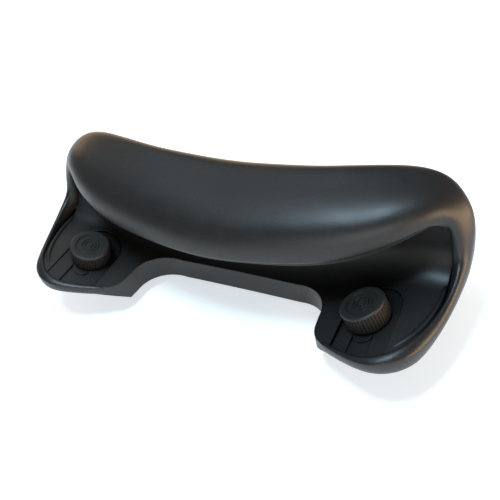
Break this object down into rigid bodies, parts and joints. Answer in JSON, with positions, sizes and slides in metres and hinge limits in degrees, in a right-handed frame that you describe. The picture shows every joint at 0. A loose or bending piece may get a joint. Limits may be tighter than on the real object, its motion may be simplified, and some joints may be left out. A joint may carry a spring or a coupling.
{
  "type": "chair armrest pad",
  "caption": "Concave padded rest with a rolled foam bolster, an arched tray with two lobes and sliding thumb knobs that clamp it to a chair.",
  "frame": {"origin": "centre of the flat land under the back shell, where the part rests on its back", "axes": "+X along the width, +Z out of the padded front, +Y from the knobs towards the bolster"},
  "size_m": [0.291, 0.1002, 0.0965],
  "materials": {
    "foam_skin": "satin moulded polyurethane skin with a fine leather grain",
    "tray_plastic": "smooth satin",
    "shell_plastic": "fine moulded texture",
    "knob_plastic": "satin",
    "nylon": "satin",
    "steel_plate": "black coated",
    "zinc_steel": "zinc plated"
  },
  "bodies": {
    "shell": {"tray": "tray_plastic", "back_shell": "shell_plastic", "stiffener_plate": "steel_plate", "bolster_shelf": "shell_plastic", "foam_pad": "foam_skin", "adjuster_track_left": "tray_plastic", "adjuster_track_right": "tray_plastic", "back_shell_screws": "zinc_steel"},
    "slider_left": {"slide_block_left": "nylon", "clamp_washer_left": "nylon", "spring_washer_left": "zinc_steel"},
    "knob_left": {"knob_body_left": "knob_plastic", "knob_cap_left": "knob_plastic", "stud_left": "zinc_steel", "retaining_ring_left": "zinc_steel"},
    "slider_right": {"slide_block_right": "nylon", "clamp_washer_right": "nylon", "spring_washer_right": "zinc_steel"},
    "knob_right": {"knob_body_right": "knob_plastic", "knob_cap_right": "knob_plastic", "stud_right": "zinc_steel", "retaining_ring_right": "zinc_steel"}
  },
  "joints": [
    {"name": "knob_slide_left", "type": "slide", "parent": "shell", "child": "slider_left", "axis": [0, 1, 0], "range_m": [-0.008, 0.008]},
    {"name": "knob_turn_left", "type": "hinge", "parent": "slider_left", "child": "knob_left", "pos_m": [-0.1, -0.038, 0.03357], "axis": [0.3226, 0, 0.9465], "continuous": true},
    {"name": "knob_slide_right", "type": "slide", "parent": "shell", "child": "slider_right", "axis": [0, 1, 0], "range_m": [-0.008, 0.008]},
    {"name": "knob_turn_right", "type": "hinge", "parent": "slider_right", "child": "knob_right", "pos_m": [0.1, -0.038, 0.03357], "axis": [-0.3226, 0, 0.9465], "continuous": true}
  ]
}
